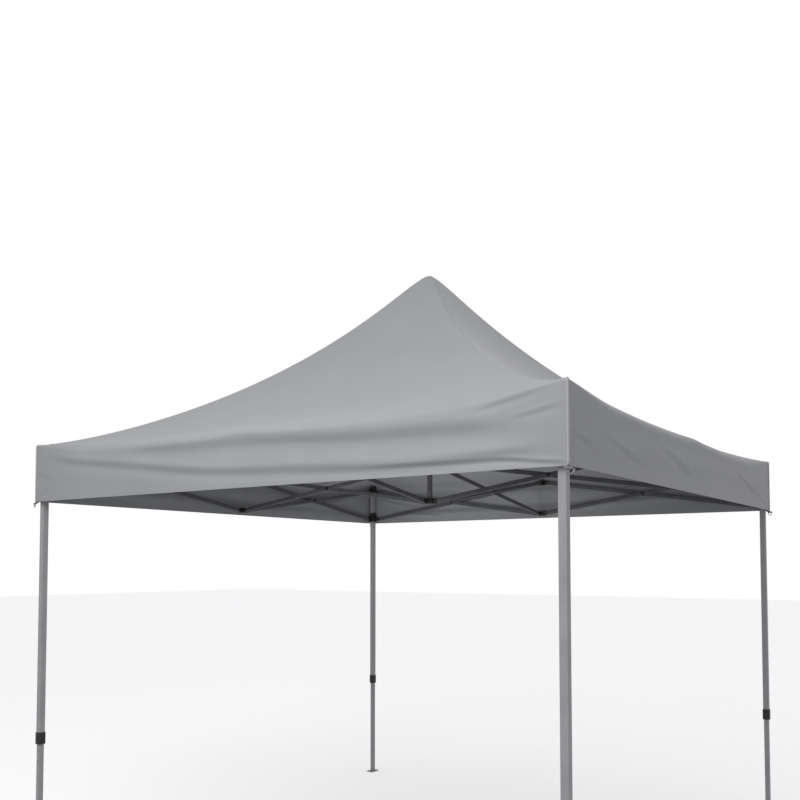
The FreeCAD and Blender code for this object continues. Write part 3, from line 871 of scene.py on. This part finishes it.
def ridge_seam(corner, cloth):
    """The doubled seam that runs down a ridge."""
    ends, starts = corner_sides(corner)
    rows = []
    shares = np.linspace(0, 1, RIDGE_ROWS) ** RIDGE_CROWDING
    for out in PEAK_EDGE + (SKIRT_START + RIDGE_PAST - PEAK_EDGE) * shares:
        top, under = [], []
        for side, sign in ((ends, 1), (starts, -1)):
            for share in (1, 0.5, 0) if sign > 0 else (0.5, 1):
                across = sign * (1 - share * RIDGE_REACH / out)
                point, normal = cover_point(side, out, across), cover_normal(side, out, across)
                edge = RIDGE_EDGE if share == 1 else 1
                top.append(point + normal * RIDGE_LIFT * edge)
                under.append(point - normal * RIDGE_SINK)
        rows.append(top + under[::-1])
    made = closed_strip(f"ridge_seam_{corner}", rows, "peak_pole", cloth)
    foot = Vector(cover_point(ends, SKIRT_START, 1.0))
    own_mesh(made)


def corner_binding(corner, tape):
    """The rolled edge binding down a corner of the skirt."""
    ends, _ = corner_sides(corner)
    sx, sy = CORNERS[corner]
    outward = Vector((sx, sy, 0)).normalized()
    parts = np.linspace(BINDING_FROM, 1.0, BINDING_ROWS)
    path = [Vector(cover_point(ends, SKIRT_START + part, 1.0)) for part in parts]
    rows = []
    for number, point in enumerate(path):
        along = (path[min(number + 1, len(path) - 1)] - path[max(number - 1, 0)]).normalized()
        beside = along.cross(outward)
        beside = beside.normalized() if beside.length > 0.2 else Vector((sy, -sx, 0)).normalized()
        front = beside.cross(along).normalized()
        share = min(1, number / 3 + 0.35, (len(path) - 1 - number) / 2 + 0.5)
        ring = []
        for step in range(BINDING_STEPS):
            turn = math.tau * step / BINDING_STEPS
            off = beside * math.cos(turn) * BINDING_WIDER + front * math.sin(turn)
            ring.append(point + BINDING_RADIUS * share * off)
        rows.append(ring)
    closed_strip(f"corner_binding_{corner}", rows, f"leg_{corner}", tape)


# The ring's webbing tab: its strap, how high and how far inside the cover's corner it is sewn, and
# how it wraps the ring's straight bar
TAB_WIDE = 0.026
TAB_THICK = 0.0012
TAB_TOP = 0.034
TAB_INSIDE = 0.0168
TAB_PLY = 0.55
BAR_RADIUS = 0.0024
WRAP_THICK = 0.85
WRAP_TURNS = (110, -150)
WRAP_STEPS = 20
TAB_EDGE = 0.0004


def ring_tab(corner, strap):
    """The webbing loop that is sewn inside a corner of the hem and holds the ring's straight bar."""
    sx, sy = CORNERS[corner]
    outward = Vector((sx, sy, 0)).normalized()
    beside = Vector((-sy, sx, 0)).normalized()
    low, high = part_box(f"tie_ring_{corner}")
    centre = (low + high) / 2
    bar_height = high.z - BAR_RADIUS
    bar_out = Vector((centre.x, centre.y, 0)).dot(outward)
    inside = Vector((sx * HALF, sy * HALF, 0)).dot(outward) - TAB_INSIDE
    wrap = BAR_RADIUS + TAB_THICK * WRAP_THICK
    ply = TAB_THICK * TAB_PLY
    # the strap's middle line, out and up: down its outer ply, round the bar, and up its inner ply
    line = [(inside + ply, HEM + TAB_TOP), (inside + ply, HEM + 0.006), (inside + 0.005, HEM + 0.001)]
    for turn in np.linspace(*WRAP_TURNS, WRAP_STEPS):
        angle = math.radians(turn)
        line.append((bar_out + wrap * math.cos(angle), bar_height + wrap * math.sin(angle)))
    line += [(inside + 0.003, HEM - 0.003), (inside - ply, HEM + 0.004), (inside - ply, HEM + TAB_TOP)]
    rows = []
    for number, (out, up) in enumerate(line):
        before, after = line[max(number - 1, 0)], line[min(number + 1, len(line) - 1)]
        run, rise = after[0] - before[0], after[1] - before[1]
        length = math.hypot(run, rise)
        off = (-rise / length, run / length)
        loop = []
        for side, half in ((1, 1), (1, -1), (-1, -1), (-1, 1)):
            point = outward * (out + off[0] * side * TAB_THICK / 2) + beside * half * TAB_WIDE / 2
            loop.append(point + Vector((0, 0, up + off[1] * side * TAB_THICK / 2)))
        rows.append(loop)
    made = closed_strip(f"ring_tab_{corner}", rows, f"leg_{corner}", strap)
    bevel = made.modifiers.new("edges", "BEVEL")
    bevel.width, bevel.segments, bevel.limit_method = TAB_EDGE, 2, "ANGLE"


def make_cover():
    """All the cloth, in place of the CAD cover."""
    cloth, tape, strap = cover_cloth(), seam_tape(), webbing()
    stand_in = peak_panel(cloth)
    for side in SIDES:
        roof_gores(side, cloth)
        skirt_panel(side, cloth)
    for corner in CORNERS:
        ridge_seam(corner, cloth)
        corner_binding(corner, tape)
        ring_tab(corner, strap)
    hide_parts("cover")


# Floor, light and camera


FLOOR_HALF = 40.0
FLOOR_GLOW = 0.42
CAMERA_PLACE = (2.706, -4.265, 1.618)
CAMERA_TURN = 34.76
CAMERA_TILT = 2.59
CAMERA_LENS = 40.07
CAMERA_SHIFT = (0.0086, 0.156)
CAMERA_END = 200
SKY_STRENGTH = 1.17
SKY_STOPS = [
    (0.0, (0.36, 0.36, 0.38)),
    (0.44, (0.44, 0.44, 0.46)),
    (0.54, (0.50, 0.50, 0.515)),
    (1.0, (0.50, 0.50, 0.515)),
]


def make_floor():
    """A white studio floor that glows a little, and doesn't light or show in the shelter."""
    corners = [(x * FLOOR_HALF, y * FLOOR_HALF, 0) for x, y in CORNERS.values()]
    floor = new_object("floor", corners, [(0, 1, 2, 3)])
    made, bench = new_material("floor_paint")
    vector, _ = bench.place()
    colour = bench.mix_colour(bench.noise(vector, 0.8), grey(0.80), grey(0.84))
    bench.finish(colour, 0.8, emission_color=grey(1.0), emission_strength=FLOOR_GLOW)
    floor.data.materials.append(made)
    floor.visible_diffuse = False
    floor.visible_glossy = False


def make_camera():
    """The camera stands in front and to the right, at about the height of the eye."""
    data = bpy.data.cameras.new("camera")
    data.lens = CAMERA_LENS
    data.shift_x, data.shift_y = CAMERA_SHIFT
    data.clip_end = CAMERA_END
    camera = bpy.data.objects.new("camera", data)
    camera.location = CAMERA_PLACE
    camera.rotation_euler = (math.radians(90 + CAMERA_TILT), 0, math.radians(CAMERA_TURN))
    bpy.context.scene.collection.objects.link(camera)
    bpy.context.scene.camera = camera


def softbox(name, power, size, place, aim, spread=180):
    """A square soft light that faces a point."""
    data = bpy.data.lights.new(name, "AREA")
    data.energy, data.size, data.spread = power, size, math.radians(spread)
    made = bpy.data.objects.new(name, data)
    made.location = place
    made.rotation_euler = (Vector(aim) - Vector(place)).to_track_quat("-Z", "Y").to_euler()
    made.visible_camera = False
    bpy.context.scene.collection.objects.link(made)


def make_light():
    """A pale sky that is white where it is seen straight on, and two soft lights in front."""
    world = bpy.data.worlds.new("studio")
    bpy.context.scene.world = world
    world.use_nodes = True
    bench = Bench(world.node_tree)
    vector = bench.node("ShaderNodeTexCoord")[0]
    up = bench.node("ShaderNodeSeparateXYZ", {}, {0: vector})[2]
    glow = bench.node("ShaderNodeValToRGB", {"stops": SKY_STOPS}, {0: up * 0.5 + 0.5})[0]
    seen = bench.node("ShaderNodeLightPath")[0]
    colour = bench.mix_colour(seen, glow, (1, 1, 1, 1))
    strength = bench.between(seen, 0.0, 1.0, SKY_STRENGTH, 1.0)
    back = bench.node("ShaderNodeBackground", {}, {"Color": colour, "Strength": strength})[0]
    bench.node("ShaderNodeOutputWorld", {}, {"Surface": back})
    softbox("key", power=78, size=1.9, place=(0.5, -3.7, 4.2), aim=(0.3, -1.3, 2.2))
    softbox("under", power=2, size=0.8, place=(0.0, -2.1, 0.9), aim=(-0.6, 1.5, 2.05), spread=45)


make_camera()
make_light()
make_floor()
finish_frame()
make_cover()
bpy.context.scene.view_settings.view_transform = "Standard"
